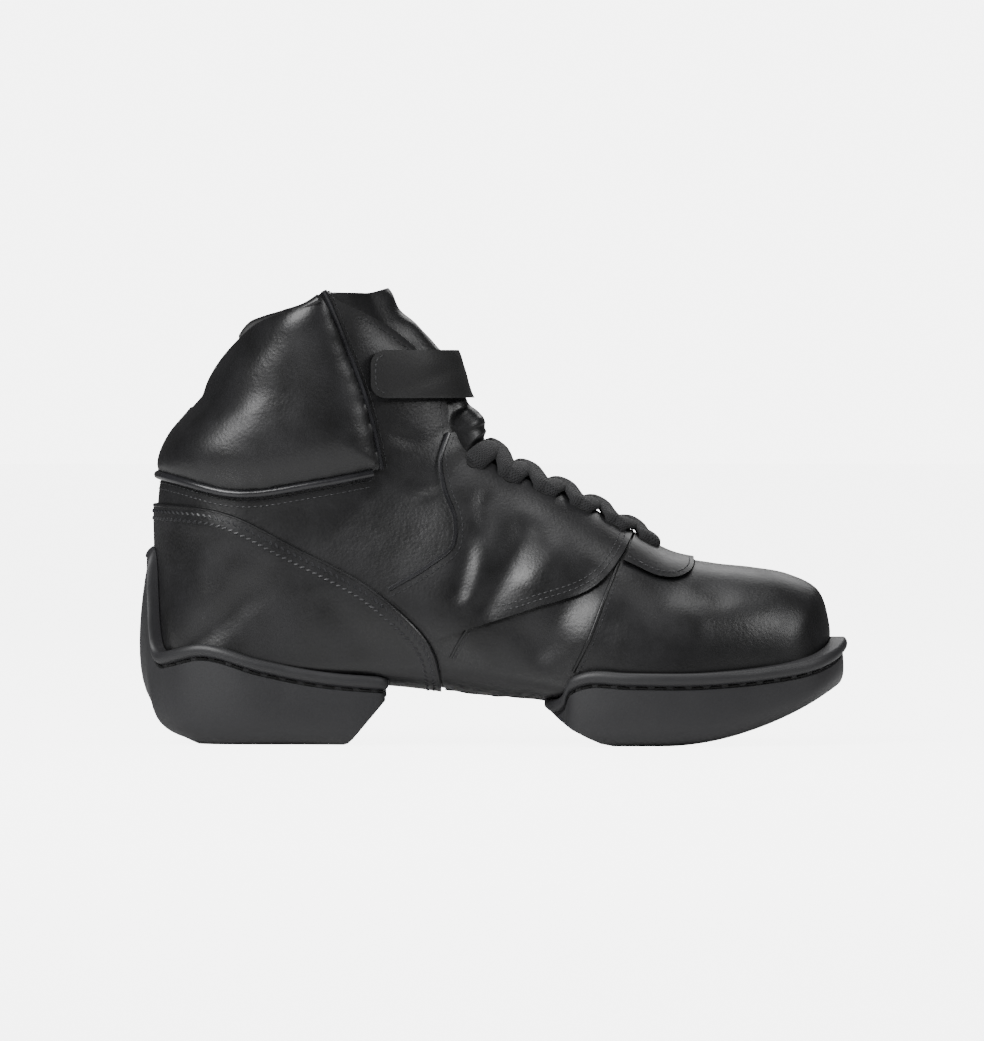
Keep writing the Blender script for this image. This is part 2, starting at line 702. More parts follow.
def spaced(spots, pitch):
    """A traced line's places and normals at an even pitch."""
    places, normals = as_tables(spots)
    along = run_lengths(places)
    at = np.arange(pitch / 2, along[-1], pitch)
    even = [np.stack([np.interp(at, along, table[:, a]) for a in range(3)], axis=1)
            for table in (places, normals)]
    return list(zip(*even))


STITCH_RINGS = ((-.50, .10), (-.40, .75), (0, 1), (.40, .75), (.50, .10))
STITCH_SIDES = 5


def stitches(spots, pitch=.0024, length=.0017, thick=THREAD, slant=0.0):
    """Vertices and faces of a row of sewn stitches, each a small sunk spindle."""
    spots = spaced(spots, pitch)
    if len(spots) < 3:
        return [], []
    places, ways, sideways, up = frames_along(spots)
    vertices, faces = [], []
    for place, way, across, rise in zip(places, ways, sideways, up):
        way = way * math.cos(slant) + across * math.sin(slant)
        across = np.cross(way, rise)
        base = len(vertices)
        for share, fat in STITCH_RINGS:
            for k in range(STITCH_SIDES):
                turn = 2 * math.pi * k / STITCH_SIDES
                outward = across * math.cos(turn) + rise * math.sin(turn)
                vertices.append(place + way * share * length + outward * fat * thick / 2)
        last = base + (len(STITCH_RINGS) - 1) * STITCH_SIDES
        faces += tube_faces(base, len(STITCH_RINGS), STITCH_SIDES)
        faces.append(tuple(base + k for k in range(STITCH_SIDES - 1, -1, -1)))
        faces.append(tuple(last + k for k in range(STITCH_SIDES)))
    return vertices, faces


def sew(name, rows):
    """One piece made of several rows of stitches."""
    vertices, faces = [], []
    for row_vertices, row_faces in rows:
        base = len(vertices)
        vertices += row_vertices
        faces += [tuple(base + k for k in face) for face in row_faces]
    return mesh_object(name, vertices, faces)


def gather(name, pieces):
    """Joins separate pieces of one kind into one object."""
    bpy.ops.object.select_all(action="DESELECT")
    for piece in pieces:
        piece.select_set(True)
    bpy.context.view_layer.objects.active = pieces[0]
    if len(pieces) > 1:
        bpy.ops.object.join()
    pieces[0].name = name
    return pieces[0]


# Materials


def add_node(tree, kind, inputs=None, links=None, **properties):
    """Adds a node, sets its properties and inputs, and links its sources."""
    node = tree.nodes.new(kind)
    for name, value in properties.items():
        setattr(node, name, value)
    for name, value in (inputs or {}).items():
        node.inputs[name].default_value = value
    for name, (source, output) in (links or {}).items():
        tree.links.new(source.outputs[output], node.inputs[name])
    return node


def linear(code):
    """An sRGB hex colour as linear values."""
    shares = [int(code[k:k + 2], 16) / 255 for k in (1, 3, 5)]
    return (*[s / 12.92 if s <= .04045 else ((s + .055) / 1.055) ** 2.4 for s in shares], 1)


def new_material(name, colour, roughness, **settings):
    """A material with its plain values on the shader, and its coordinates node."""
    material = bpy.data.materials.new(name)
    material.use_nodes = True
    tree = material.node_tree
    shader = tree.nodes["Principled BSDF"]
    shader.inputs["Base Color"].default_value = linear(colour)
    shader.inputs["Roughness"].default_value = roughness
    for socket, value in settings.items():
        shader.inputs[socket.replace("_", " ")].default_value = value
    return material, tree, shader, add_node(tree, "ShaderNodeTexCoord")


def noise(tree, where, scale, **settings):
    """A noise pattern fixed to the piece."""
    inputs = {name.title(): value for name, value in settings.items()}
    return add_node(tree, "ShaderNodeTexNoise", {"Scale": scale, **inputs},
                    {"Vector": (where, "Object")})


def shade_range(tree, source, low, high, shader):
    """Spreads a pattern over the shader's roughness, from low to high."""
    spread = add_node(tree, "ShaderNodeMapRange", {"From Min": .3, "From Max": .7,
                                                   "To Min": low, "To Max": high},
                      {"Value": (source, "Fac")})
    tree.links.new(spread.outputs["Result"], shader.inputs["Roughness"])


def two_colours(tree, factor, low, high, shader):
    """Mixes the shader's colour from two, by a pattern's first output."""
    mix = add_node(tree, "ShaderNodeMix", {6: linear(low), 7: linear(high)}, data_type="RGBA")
    tree.links.new(factor, mix.inputs[0])
    tree.links.new(mix.outputs[2], shader.inputs["Base Color"])


def emboss(tree, shader, *layers):
    """Bumps from patterns, one on another: each layer's node, output, strength and
    height in metres."""
    under = None
    for source, output, strength, distance in layers:
        links = {"Height": (source, output)}
        if under:
            links["Normal"] = (under, "Normal")
        under = add_node(tree, "ShaderNodeBump", {"Strength": strength, "Distance": distance},
                         links)
    tree.links.new(under.outputs["Normal"], shader.inputs["Normal"])


def joined(tree, pair, operation):
    """Two patterns of threads joined into one."""
    return add_node(tree, "ShaderNodeMath", None, {k: (pair[k], "Fac") for k in (0, 1)},
                    operation=operation)


def leather(name, colour, worn, roughness, grain, grain_depth, wrinkle):
    """Smooth black cow leather with a pigmented, pressed finish. Its grain's cells,
    about 1 mm wide, are drawn a little coarser than real ones so that they show, and
    slow patches of a softer black break up the gloss."""
    material, tree, shader, where = new_material(name, colour, roughness,
                                                 Specular_IOR_Level=.5, IOR=1.5)
    patches = noise(tree, where, 55.0, detail=4.0, roughness=.6)
    tint = add_node(tree, "ShaderNodeMapRange", {"From Min": .35, "From Max": .7},
                    {"Value": (patches, "Fac")})
    two_colours(tree, tint.outputs["Result"], colour, worn, shader)
    shade_range(tree, patches, roughness - .05, roughness + .07, shader)
    cells = add_node(tree, "ShaderNodeTexVoronoi", {"Scale": 1 / grain, "Randomness": 1.0},
                     {"Vector": (where, "Object")}, feature="SMOOTH_F1")
    creasing = noise(tree, where, 190.0, detail=5.0, roughness=.62, distortion=.8)
    emboss(tree, shader, (creasing, "Fac", .55, wrinkle), (cells, "Distance", .5, grain_depth))
    return material


def moulded_rubber():
    """Black thermoplastic rubber from a spark-eroded mould: matt, with a fine even
    texture that scatters the light, and slightly greyer where it is rubbed."""
    material, tree, shader, where = new_material("moulded_rubber", "#2a2a2c", .60,
                                                 Specular_IOR_Level=.45, IOR=1.52)
    rub = noise(tree, where, 38.0, detail=5.0)
    two_colours(tree, rub.outputs["Fac"], "#232325", "#2b2b2d", shader)
    shade_range(tree, rub, .44, .58, shader)
    emboss(tree, shader, (noise(tree, where, 1400.0, detail=2.0), "Fac", .4, .00012))
    return material


def woven_lace():
    """Flat polyester lace, braided: crossed ribs at about 1.2 mm, matt with a faint
    sheen on the yarn. The ribs follow the lace's own map."""
    material, tree, shader, _ = new_material("braided_polyester", "#141415", .72,
                                             Sheen_Weight=.06, Sheen_Roughness=.5,
                                             Specular_IOR_Level=.3)
    way = add_node(tree, "ShaderNodeUVMap", uv_map="weave")
    waves = []
    for slope in (1, -1):
        turned = add_node(tree, "ShaderNodeMapping", {"Rotation": (0, 0, slope * .9),
                                                      "Scale": (1.0, 2.4, 1.0)},
                          {"Vector": (way, "UV")})
        waves.append(add_node(tree, "ShaderNodeTexWave", {"Scale": 3.4, "Distortion": .4},
                              {"Vector": (turned, "Vector")}))
    ribs = joined(tree, waves, "MAXIMUM")
    two_colours(tree, ribs.outputs[0], "#0b0b0c", "#1f1f21", shader)
    emboss(tree, shader, (ribs, "Value", .8, .0003))
    return material


def lining_cloth():
    """Black woven lining: a plain weave of about 0.8 mm, dull and slightly hairy."""
    material, tree, shader, where = new_material("woven_lining", "#242426", .9,
                                                 Sheen_Weight=.3, Sheen_Roughness=.6)
    threads = [add_node(tree, "ShaderNodeTexWave", {"Scale": 390.0, "Distortion": .3},
                        {"Vector": (where, "Object")}, bands_direction=axis)
               for axis in ("X", "Y")]
    weave = joined(tree, threads, "MULTIPLY")
    two_colours(tree, weave.outputs[0], "#18181a", "#303033", shader)
    emboss(tree, shader, (weave, "Value", .6, .0003))
    return material


def speckled(name, colour, roughness, low, high, scale, detail=2.0, **settings):
    """A plain finish whose roughness varies finely: a twisted thread or a dusty slot."""
    material, tree, shader, where = new_material(name, colour, roughness, **settings)
    shade_range(tree, noise(tree, where, scale, detail=detail), low, high, shader)
    return material


SKIN = leather("smooth_black_leather", "#121213", "#18181a", .39, .0011, .00010, .00016)
STIFF = leather("lasted_black_leather", "#141415", "#1b1b1d", .36, .0011, .00009, .00012)
PADDED = leather("soft_padded_leather", "#131314", "#1a1a1c", .38, .0012, .00011, .00020)
PIPING = leather("polished_piping_leather", "#1b1b1d", "#252528", .27, .0012, .00006, .00010)
STRAP = leather("strap_leather", "#0e0e0f", "#141415", .54, .0010, .00012, .00014)
RUBBER = moulded_rubber()
LACE = woven_lace()
LINING = lining_cloth()
# Bonded nylon thread, black with a dull shine and a little lighter than the leather
THREADS = speckled("bonded_thread", "#232326", .5, .42, .62, 900.0, detail=1.0,
                   Specular_IOR_Level=.5)
# The dark slot of a needle hole or a pressed groove: hardly any shine
SLOT = speckled("pressed_slot", "#0a0a0b", .85, .75, .95, 700.0)
SHARP_ANGLE = 38             # degrees from which an edge is shaded as sharp

# Where the solids stand
SHIFT = np.array((HEEL_BOX[0].x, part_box("upper")[0].y - SURFACE.place[..., 1].min(), 0.0))


def settle(piece, material, slot, *nodes):
    """Moves a finished piece to where its solids stand, and gives it its finish."""
    set_coordinates(piece, coordinates(piece) + SHIFT)
    piece.data.shade_smooth()
    piece.data.set_sharp_from_angle(angle=math.radians(SHARP_ANGLE))
    piece.data.materials.clear()
    piece.data.materials.append(material)
    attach(piece, "root")
    if nodes:
        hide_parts(*nodes)
    return piece


# Cutting tools

CUT_LOWER = .005             # below the facing's lower end
CUT_FORWARD = .04            # in front of it
CUT_HIGH = 1.4               # share of COLLAR_HEIGHT, well above the collar


def collar_cutter():
    """Everything above the topline and in front of the facings."""
    line = smooth_line(TOPLINE) + smooth_line(FACING)[1:]
    front, low = line[-1]
    low -= CUT_LOWER
    top = COLLAR_HEIGHT * CUT_HIGH
    beyond = [(front + CUT_OVER, low), (front + CUT_FORWARD, low), (front + CUT_FORWARD, top)]
    return prism("collar_cutter", line + beyond + [(line[0][0], top)])


def across_front(u, arcs):
    """v at a row of signed arc lengths across the front middle, without a jump there."""
    return [SURFACE.from_front(u, arc) + (0 if arc >= 0 else 2) for arc in arcs[::-1]]


def opening(name, us, columns):
    """A slab right through the leather and what lies on it."""
    return patch(name, us, columns, lambda u, v: CUT_OVER, lambda u, v: -CUT_UNDER)


def throat_cutter():
    """The throat's opening, through upper and eyestays."""
    us = [THROAT_START + .01 + .35 * (k / 6) ** 2 for k in range(6)]
    us += list(np.arange(ROW["joint"], ROW["heel_back"] + .6, .2))

    def columns(u):
        gap = SURFACE.gap(u)
        return across_front(u, np.linspace(-gap, gap, 13))

    return opening("throat_cutter", us, columns)


def window_cutter(name, first, last):
    """An opening in the upper's underside, inside the lasting margin."""
    smallest = SURFACE.half.min(axis=1)

    def columns(u):
        half = SURFACE.value(u, smallest)
        edge = SURFACE.value(u, SURFACE.turn) * half - LASTING_MARGIN
        return np.linspace(-edge, edge, 17) / half

    return opening(name, np.linspace(first, last, 25), columns)


def closed_at(line, z):
    """A side-view line, closed by a level line at z."""
    return line + [(line[-1][0], z), (line[0][0], z)]


def overlay(name, outline, top, under=GAP, low_y=-SAFE, high_y=SAFE):
    """A piece on the upper: its outline cut from the shell between two lifts."""
    piece = cross(form(name, top), prism("outline", outline, low_y, high_y))
    return cut(piece, form("under", under))


# The leather pieces

LINED_FROM = .8              # share of WALL from which a face belongs to the lining


def make_upper():
    upper = form("upper_leather", 0.0)
    cut(upper, form("inside", -WALL, first=INSIDE_FIRST))
    cut(upper, collar_cutter())
    cut(upper, throat_cutter())
    cut(upper, window_cutter("forefoot_window", *FOREFOOT_WINDOW))
    cut(upper, window_cutter("heel_window", *HEEL_WINDOW))
    depths = np.array([SURFACE.tree.find(place)[2] for place in coordinates(upper)])
    push(upper)
    settle(upper, SKIN, "upper_leather", "upper")
    upper.data.materials.append(LINING)
    for polygon in upper.data.polygons:
        if min(depths[v] for v in polygon.vertices) > WALL * LINED_FROM:
            polygon.material_index = 1
    return upper


def make_counter():
    outline = closed_at(smooth_line(COUNTER_EDGE), UNDER_ALL)
    counter = overlay("heel_counter", outline, GAP + COUNTER_THICK)
    cut(counter, window_cutter("heel_window", *HEEL_WINDOW))
    return push(counter)


EYESTAYS_APART = .004        # across the shoe's middle
EYESTAY_BEYOND = ((.74, 1.1), (.465, 1.18))    # in the throat, which is cut away


def make_eyestay(name, side):
    outline = (smooth_line(EYESTAY_REAR) + smooth_line(EYESTAY_FOOT[:2] + (EYESTAY_CORNER,))
               + smooth_line(EYESTAY_FOOT[3:]) + in_metres(EYESTAY_BEYOND))
    low_y, high_y = sorted((side * EYESTAYS_APART / 2, side * SAFE))
    eyestay = overlay(name, outline, GAP + OVERLAY_THICK, low_y=low_y, high_y=high_y)
    cut(eyestay, throat_cutter())
    return push(eyestay)


def make_throat_bib():
    corner, = in_metres((BIB_CORNER,))
    outline = smooth_line(BIB_EDGE)
    outline += [(outline[-1][0], INSTEP_HEIGHT), (corner[0], INSTEP_HEIGHT), corner]
    bib = overlay("throat_panel", outline, GAP + OVERLAY_THICK)
    cut(bib, throat_cutter())
    return push(bib)


PAD_FULLNESS = .62           # power of the pad's rise from its seam
RIM_SHARE = .35              # share of the pad's height that is left at the topline
PUCKER = .00010              # height, pitch and reach of the puckers at the seam
PUCKER_PITCH = .0085
PUCKER_REACH = .006


def make_collar_pad():
    """Soft leather over foam: full in the middle, drawn in at its seams, and pulled
    into short puckers where it is sewn."""
    seam = smooth_line(PAD_SEAM) + smooth_line(PAD_FRONT)[1:]
    rim = smooth_line(TOPLINE)

    def pillow(places):
        seam_apart, along, _ = line_distance(places, seam)
        rim_apart = line_distance(places, rim)[0]
        seam_rise = np.minimum(seam_apart / PAD_ROUND, 1.0)
        rim_rise = np.minimum(rim_apart / (PAD_ROUND * .5), 1.0)
        low = (1 - (1 - seam_rise) ** 2) ** PAD_FULLNESS
        high = RIM_SHARE + (1 - RIM_SHARE) * np.sqrt(1 - (1 - rim_rise) ** 2)
        pucker = PUCKER * np.sin(along * 2 * math.pi / PUCKER_PITCH)
        pucker = pucker * np.exp(-(seam_apart / PUCKER_REACH) ** 2)
        return GAP + SEWN_EDGE + (PAD_CROWN - SEWN_EDGE) * low * high + pucker

    pad = overlay("collar_padding", closed_at(seam, COLLAR_HEIGHT * 1.2), pillow)
    cut(pad, collar_cutter())
    return push(pad, CREASES + PAD_CREASES)


TONGUE_COVER = .009          # least width of the tongue under each facing
CROWN_LEAST = .003           # half width of its full part: at least this, and at most
CROWN_SHARE = .34            # this share of the tongue's width
CROWN_IN = .0008             # from the full part to the throat's edge
EDGE_FALL = 1.35             # how steeply it falls off towards its edges
LACED_FROM = EYELETS_FROM - 1.3    # sections between which it rises under the laces
LACED_TO = EYELETS_TO + .5
LACED_EASE = .6              # sections over which this rise comes and goes
# Swells of the tongue, with sewn channels between: middle and width in sections, height
TONGUE_ROLLS = (
    (ROW["tongue_top"] - .35, .50, .0018),
    (ROW["pad_mid"] + .1, .55, .0012),
    (ROW["heel_back"] - .6, .8, .0004),
)


def make_tongue():
    """Padded tongue with two soft rolls at its top."""
    spots = [ROW[name] for name, _ in TONGUE_PUFF]
    puffs = [puff for _, puff in TONGUE_PUFF]
    us = np.arange(ROW["ball"] + .3, ROW["tongue_top"] + .01, .12)
    hidden = -WALL - TONGUE_PLAY

    def crown(u):
        return min(max(SURFACE.gap(u), CROWN_LEAST), TONGUE_WIDTH * CROWN_SHARE) - CROWN_IN

    def columns(u):
        gap = SURFACE.gap(u)
        edge = max(min(gap + TONGUE_TUCK, TONGUE_WIDTH / 2), gap + TONGUE_COVER)
        half = list(np.linspace(0, crown(u), 13)) + list(np.linspace(crown(u), edge, 6)[1:])
        return across_front(u, [-arc for arc in half[:0:-1]] + half)

    def share(u, v):
        half = SURFACE.value(u, SURFACE.half[:, 0 if v > 1 else 1])
        return float(smooth(EDGE_FALL * (1 - abs(1 - v) * half / crown(u))))

    def rolls(u):
        swell = sum(height * math.exp(-((u - middle) / width) ** 2)
                    for middle, width, height in TONGUE_ROLLS)
        laced = smooth((u - LACED_FROM) / LACED_EASE) * smooth((LACED_TO - u) / LACED_EASE)
        return swell + LACED_RISE * float(laced)

    def outer(u, v):
        puff = np.interp(u, spots, puffs) + rolls(u)
        wrinkle = .00018 * math.sin(u * 4.2 + 1.3 * math.sin(v * 22)) * share(u, v)
        return hidden + (puff - hidden) * share(u, v) + wrinkle

    def inner(u, v):
        thick = TONGUE_THICK - TONGUE_EDGE
        return outer(u, v) - TONGUE_EDGE - (thick + rolls(u)) * share(u, v)

    return patch("padded_tongue", us, columns, outer, inner)


def make_insole():
    """The sock on the bed, under the foot."""
    seat = -WALL - 2 * GAP
    first = int(round(INSIDE_FIRST * FINE_STEPS))
    floor = [SURFACE.at(k / FINE_STEPS, 0, seat)
             for k in range(first, ROW["heel_back"] * FINE_STEPS + 1)]
    line = [(place[0], place[2] + INSOLE_THICK) for place in floor]
    rise = (line[1][1] - line[0][1]) / (line[1][0] - line[0][0])
    line.insert(0, (LENGTH, line[0][1] + rise * (LENGTH - line[0][0])))
    line += [(0, line[-1][1] + .002), (0, 0), (LENGTH, 0)]
    return cross(form("sock_lining", seat, first=INSIDE_FIRST), prism("outline", line))


TAB_ROUND = .62              # corner radius of the tab, share of the strap's half width
STRAP_FRONT = .55            # in front of the instep, share of LENGTH
STRAP_EASE = .08             # share of LENGTH over which the strap comes to its lean


def strap_outline():
    """Side view of the strap, with a round tab at its rear end."""
    middle = front_height(STRAP_MIDDLE)
    half = STRAP_WIDTH / 2
    radius = half * TAB_ROUND
    centre = STRAP_TAB * LENGTH + radius
    front = LENGTH * STRAP_FRONT
    outline = [(front, middle + half)]
    for corner, start in ((middle + half - radius, 90), (middle - half + radius, 180)):
        for step in range(10):
            angle = math.radians(start + 10 * step)
            outline.append((centre + radius * math.cos(angle), corner + radius * math.sin(angle)))
    return outline + [(front, middle - half)]


def make_ankle_strap():
    low = front_height(STRAP_MIDDLE) - STRAP_WIDTH / 2

    def rest(places):
        rise = np.clip((places[..., 2] - low) / STRAP_WIDTH, 0, 1)
        forward = smooth((places[..., 0] - STRAP_TAB * LENGTH) / (STRAP_EASE * LENGTH))
        return STRAP_REST + STRAP_LEAN * rise * forward

    return overlay("buckleless_strap", strap_outline(),
                   lambda places: rest(places) + STRAP_THICK, rest)


# The sole units

WALL_RISES = tuple((k / 18) ** 1.8 for k in range(19))
WALL_FALL = 7.3              # how fast the wall's inset dies out with its height
STUDS_IN = .0028             # from the wall's foot to the studded field
FIELD_STEP = .0003           # width of the step down into the studded field
FOOT_SHARE = .985            # where the wall's round foot starts, share of its radius
GROOVE_WIDTH = .0018         # between the wall and the bead
GROOVE_CORNERS = (.0004, .0013)    # heights of its bottom's corners
GROOVE_SEAM = .0008          # height of its stitches, and their room to a slanted cut
SEAM_CLEAR = .003
BEAD_STEPS = (-80, -60, -40, -20, 0, 20, 40, 60, 75, 90)
BEAD_ROUND = .9              # share of its width by which the bead is rounded
LEAN = .6                    # shares of the rim's rounding in the wall and in the bead
BEAD_LEAN = .4
# What is cut off at each unit's inner end, in side view, in millimetres
HEEL_SLANT = ((76, -2), (80.6, 0), (82.2, .5), (84.2, 2.3), (96.4, 16.8), (100.8, 21.8),
              (101.6, 24), (112, 24), (112, -2))
TOE_SLANT = ((146, -2), (146, 17.4), (154.9, 17.4), (155.6, 16.2), (159.4, 13.2), (163.7, 9.5),
             (168, 6.3), (174, 3.2), (179, 1.0), (184, 0), (188, -2))
RAY_SPREAD = BALL_WIDTH * .45      # half width of the oval that spreads the rays
UNDER_RIM = .0015            # the rays run below the rim, but not below the bed
OVER_BED = .005
END_ON = .05                 # least forward share of a ray that can meet the straight end
END_POWER = 9                # how sharply side and straight end meet


def tread_height(x):
    """Height of the tread's underside, which rises towards the toe."""
    start = ROCKER_START * LENGTH
    share = max(x - start, 0.0) / (LENGTH - start)
    return TOE_SPRING * share ** ROCKER_POWER


def rim_curves(rim):
    """Each column of a rim's table as a smooth curve of the path share."""
    return {name: np.array(smooth_points([(row[0], row[index]) for row in rim], 12))
            for index, name in enumerate(RIM_COLUMNS[1:], 1)}


def sole_stations(rim, centre_x, stop, towards, bed):
    """Rays round a sole unit. Each has its direction, outer radius, rim height and row."""
    reach = abs(stop - centre_x)
    curves = rim_curves(rim)
    stations = []
    for k in range(STATIONS):
        turn = 2 * math.pi * k / STATIONS
        direction = Vector((-math.cos(turn) * reach, math.sin(turn) * RAY_SPREAD, 0)).normalized()
        path = 1 - abs(turn / math.pi - 1)
        row = {name: float(np.interp(path, curve[:, 0], curve[:, 1]))
               for name, curve in curves.items()}
        height = front_height(row["rim"])
        forward = direction.x * towards
        line = reach / forward if forward > END_ON else LENGTH
        sight = min(line * 1.1, LENGTH)
        start = Vector((centre_x, 0, max(height - UNDER_RIM, bed + OVER_BED))) + direction * sight
        hit = BASE.ray_cast(start, -direction, sight)[0]
        radius = line
        if hit is not None:
            radius = math.hypot(hit.x - centre_x, hit.y) + row["outset"]
        if forward > END_ON:
            radius = (radius ** -END_POWER + line ** -END_POWER) ** (-1 / END_POWER)
        stations.append([direction, radius, height, row])
    radii = np.array([s[1] for s in stations])
    for _ in range(3):
        radii = (np.roll(radii, 1) + 2 * radii + np.roll(radii, -1)) / 4
    for station, radius in zip(stations, radii):
        station[1] = float(radius)
    return stations


def sole_unit(name, rim, centre_x, stop, towards, bed, cup, slant):
    """A cupped sole unit with a recessed tread field, its studs, and the groove's line."""
    columns, groove_line, field = [], [], []
    for direction, radius, height, row in sole_stations(rim, centre_x, stop, towards, bed):
        groove = height - RIM_BAND
        wall = radius - BEAD_PROUD
        edge = wall - row["corner"]
        bare = max(edge - STUDS_IN, edge * .5)
        lean = row["round"] * LEAN

        def place(distance, z):
            return np.array((centre_x + direction.x * distance, direction.y * distance, z))

        def tread(distance, lift=0.0):
            return place(distance, tread_height(centre_x + direction.x * distance) + lift)

        column = [tread(bare * .5, TREAD_RECESS), tread(bare - FIELD_STEP, TREAD_RECESS),
                  tread(bare), tread((bare + edge) / 2), tread(edge * FOOT_SHARE)]
        field.append((math.atan2(direction.y, direction.x), bare))
        for rise in WALL_RISES:
            inset = math.exp(-WALL_FALL * rise) - math.exp(-WALL_FALL) * rise
            distance = wall - inset * row["corner"] - lean * rise ** 3
            low = tread_height(centre_x + direction.x * distance)
            column.append(place(distance, low + (groove - low) * rise))
        slot = wall - lean - GROOVE_DEPTH
        column += [place(slot, groove + up) for up in GROOVE_CORNERS]
        groove_line.append((place(slot + .0002, groove + GROOVE_SEAM), np.array(direction)))
        middle = (groove + GROOVE_WIDTH + height) / 2
        half = (height - groove - GROOVE_WIDTH) / 2
        for degrees in BEAD_STEPS:
            angle = math.radians(degrees)
            rolled = row["round"] * BEAD_LEAN * (.5 + .5 * math.sin(angle))
            out = radius - lean - rolled - BEAD_PROUD * BEAD_ROUND * (1 - math.cos(angle))
            column.append(place(out, middle + half * math.sin(angle)))
        column.append(place(radius - row["outset"] - RIM_LAP, height))
        columns.append(column)
    bottom = (centre_x, 0, tread_height(centre_x) + TREAD_RECESS)
    block = rings_to_solid(name, list(zip(*columns)), bottom, (centre_x, 0, HEEL_BED + .02))
    outline = mm(*slant)
    cut(block, form("cup", cup))
    cut(block, prism("slant", outline))
    return block, studs(field, centre_x, outline), clear_of(groove_line, outline)


def inside_outline(x, z, outline):
    """Whether a side-view point lies inside a closed outline."""
    inside = False
    for (ax, az), (bx, bz) in zip(outline, outline[1:] + outline[:1]):
        if (az > z) != (bz > z) and x < (bx - ax) * (z - az) / (bz - az) + ax:
            inside = not inside
    return inside


def clear_of(line, outline):
    """The part of a closed line that stays clear of a side-view outline."""
    kept = [not any(inside_outline(place[0] + reach, place[2], outline)
                    for reach in (-SEAM_CLEAR, 0, SEAM_CLEAR)) for place, _ in line]
    start = next((k for k in range(len(line)) if kept[k] and not kept[k - 1]), 0)
    order = [(start + k) % len(line) for k in range(len(line))]
    return [line[k] for k in order if kept[k]]


STUD_FOOT = .40              # half widths of a stud, shares of the pitch
STUD_TIP = .27
STUD_ROOM = .62              # room left to the field's edge, share of the pitch
STUD_CLEAR = .006            # room left to the slanted cut, at just below the tread
FIELD_REACH = .07            # farther than any field's corner


def studs(field, centre_x, slant):
    """Small square studs in crossed diagonal rows, flush with the tread's margin."""
    angles, radii = np.array(sorted(field)).T
    spread = int(FIELD_REACH / STUD_PITCH)
    vertices, faces = [], []
    for i in range(-spread, spread + 1):
        for j in range(-spread, spread + 1):
            x = (i + j) * STUD_PITCH * math.sqrt(.5)
            y = (i - j) * STUD_PITCH * math.sqrt(.5)
            limit = np.interp(math.atan2(y, x), angles, radii, period=2 * math.pi)
            if math.hypot(x, y) > limit - STUD_PITCH * STUD_ROOM or any(
                    inside_outline(centre_x + x + reach, -.0005, slant)
                    for reach in (-STUD_CLEAR, 0, STUD_CLEAR)):
                continue
            base = len(vertices)
            for half, lift in ((STUD_FOOT, TREAD_RECESS + .0002), (STUD_TIP, 0)):
                for corner in range(4):
                    turn = math.pi / 2 * corner
                    reach = STUD_PITCH * half * math.sqrt(2)
                    px = centre_x + x + reach * math.cos(turn)
                    vertices.append((px, y + reach * math.sin(turn), tread_height(px) + lift))
            faces.append(tuple(base + k for k in range(4)))
            faces.append(tuple(base + 7 - k for k in range(4)))
            for k in range(4):
                n = (k + 1) % 4
                faces.append((base + k, base + 4 + k, base + 4 + n, base + n))
    return mesh_object("tread_studs", vertices, faces)


# The lace


LACE_IN = .0004              # how far the lace is pressed into the leather
DIVE_SHARE = .10             # share of a run in which it dives into its hole
DIVE_DEPTH = .0012
HUMP_SHARE = .17             # half width of the swell over the crossed run, as a share
HOLE_RADIUS = .0024
HOLE_LIFTS = (-.0006, .0002)       # the disc's lower and upper face, from the leather


def eyelet_arc(u):
    """Arc length from the front middle to the eyelets."""
    return SURFACE.gap(u) + EYELET_INSET


def eyelet_sections():
    """Section numbers of the eyelet rows, evenly spaced along the throat's edge."""
    us = np.linspace(EYELETS_FROM, EYELETS_TO, 60)
    along = run_lengths([SURFACE.at(u, SURFACE.from_front(u, -eyelet_arc(u))) for u in us])
    return np.interp(np.linspace(0, along[-1], EYELET_PAIRS), along, us)


def lace_run(name, start, end, hump):
    """One run of lace between two eyelets, given as (section, side), which dives into
    a hole at each end and swells over the run that it crosses."""
    rest = GAP + OVERLAY_THICK + LACE_THICK / 2 - LACE_IN
    spots = []
    ends = [side * eyelet_arc(row) for row, side in (start, end)]
    for share in np.linspace(0, 1, 37):
        u = start[0] + (end[0] - start[0]) * share
        arc = ends[0] + (ends[1] - ends[0]) * share
        dive = 1 - math.sqrt(min(min(share, 1 - share) / DIVE_SHARE, 1.0))
        raised = rest + hump * math.exp(-((share - .5) / HUMP_SHARE) ** 2)
        place, normal = SURFACE.spot(u, SURFACE.from_front(u, arc))
        spots.append((place + normal * (raised - (rest + DIVE_DEPTH) * dive ** 2), normal))
    return welt(name, spots, LACE_WIDTH, LACE_THICK, sides=14)


def make_lace():
    rows = eyelet_sections()
    runs = [lace_run("bar", (rows[0], -1), (rows[0], 1), 0.0)]
    for low, high in zip(rows, rows[1:]):
        runs.append(lace_run("under", (low, 1), (high, -1), .0002))
        runs.append(lace_run("over", (low, -1), (high, 1), LACE_THICK * .40))
    return gather("crossed_lace", runs)


def make_holes():
    """Dark punched holes, narrower than the lace that fills them."""
    discs = []
    turns = np.linspace(0, 2 * math.pi, 17)[:-1]
    for row in eyelet_sections():
        for side in (-1, 1):
            place, normal = SURFACE.spot(row, SURFACE.from_front(row, side * eyelet_arc(row)))
            centres = [place + normal * (GAP + OVERLAY_THICK + lift) for lift in HOLE_LIFTS]
            facing = Vector(normal).to_track_quat("Z", "Y")
            round_it = [facing @ Vector((HOLE_RADIUS * math.cos(a), HOLE_RADIUS * math.sin(a), 0))
                        for a in turns]
            rings = [[np.array(Vector(centre) + step) for step in round_it] for centre in centres]
            discs.append(rings_to_solid("hole", rings, *centres))
    return gather("punched_holes", discs)


# Building the shoe

